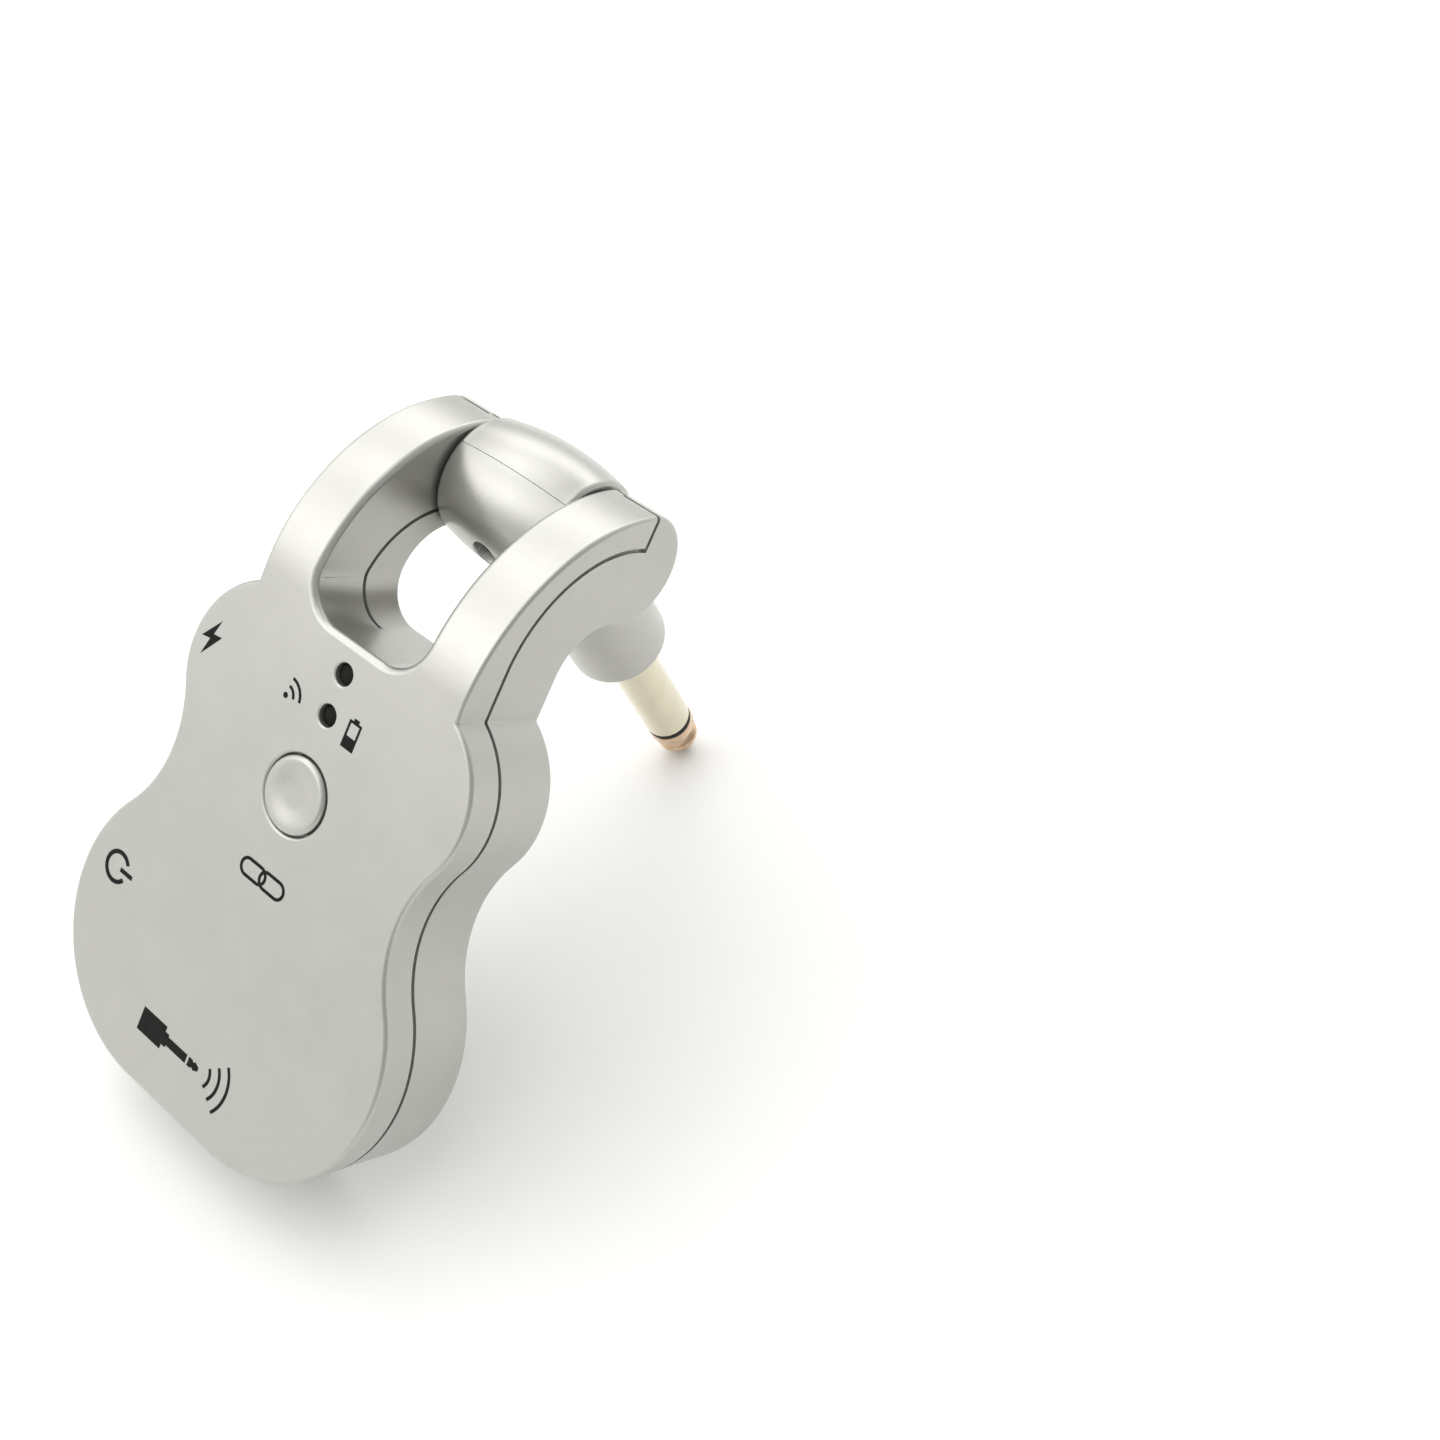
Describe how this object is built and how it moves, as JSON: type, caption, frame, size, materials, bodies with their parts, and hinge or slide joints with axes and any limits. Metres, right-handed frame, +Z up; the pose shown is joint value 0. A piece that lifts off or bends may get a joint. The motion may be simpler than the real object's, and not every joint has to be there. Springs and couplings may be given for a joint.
{
  "type": "wireless guitar transmitter",
  "caption": "Guitar-shaped wireless audio transmitter; its arms carry a swivelling jack plug that fits an instrument's output socket.",
  "frame": {"origin": "middle of the object's box on the table, with the case leaning on its rear bottom edge and on the plug's tip", "axes": "+X to the right seen from the face, +Y from the face's foot back towards the plug, +Z up"},
  "size_m": [0.051, 0.0888, 0.0672],
  "materials": {
    "case_paint": "satin silver metallic paint",
    "nickel": "polished nickel plate",
    "tip_plate": "polished warm plate",
    "black_plastic": "matte black moulding",
    "steel": "zinc-plated steel",
    "board": "solder-masked laminate",
    "cell_foil": "foil pouch",
    "foam": "foam pad",
    "smoked_lens": "smoked clear plastic",
    "led": "clear resin",
    "shield": "tinned shield",
    "ceramic": "ceramic",
    "acetal": "natural acetal",
    "bronze": "spring bronze",
    "lead_jacket": "soft lead jacket"
  },
  "bodies": {
    "case": {"front_shell": "case_paint", "rear_shell": "case_paint", "case_screws": "steel", "circuit_board": "board", "battery_cell": "cell_foil", "battery_pad": "foam", "charging_port": "steel", "pair_switch": "black_plastic", "power_switch": "steel", "signal_led": "led", "battery_led": "led", "light_pipes": "smoked_lens", "radio_module": "shield", "audio_chip": "black_plastic", "charger_chip": "black_plastic", "chip_antenna": "ceramic", "bush_left": "acetal", "bush_right": "acetal", "case_lead": "lead_jacket"},
    "pair_button": {"pair_button": "case_paint", "pair_plunger": "black_plastic"},
    "power_switch": {"power_knob": "case_paint", "switch_slider": "black_plastic"},
    "plug_swivel": {"barrel_body": "case_paint", "barrel_cover": "case_paint", "barrel_screw": "steel", "axle_left": "steel", "axle_right": "steel", "friction_washers": "bronze", "axle_clips": "steel", "plug_retainer": "bronze", "plug_sleeve": "nickel", "plug_insulator": "black_plastic", "plug_tip": "tip_plate", "plug_lugs": "bronze", "plug_lead": "lead_jacket"}
  },
  "joints": [
    {"name": "plug_swivel_hinge", "type": "hinge", "parent": "case", "child": "plug_swivel", "pos_m": [0, 0.01865, 0.05894], "axis": [1, 0, 0], "range_deg": [-57.5, 162.5]},
    {"name": "pair_button_press", "type": "slide", "parent": "case", "child": "pair_button", "axis": [0, 0.7985, -0.6019], "range_m": [0, 0.0003], "stiffness_N_per_m": 3000, "springref_m": -0.0003},
    {"name": "power_switch_slide", "type": "slide", "parent": "case", "child": "power_switch", "axis": [0, 0.6019, 0.7985], "range_m": [0, 0.002]}
  ]
}
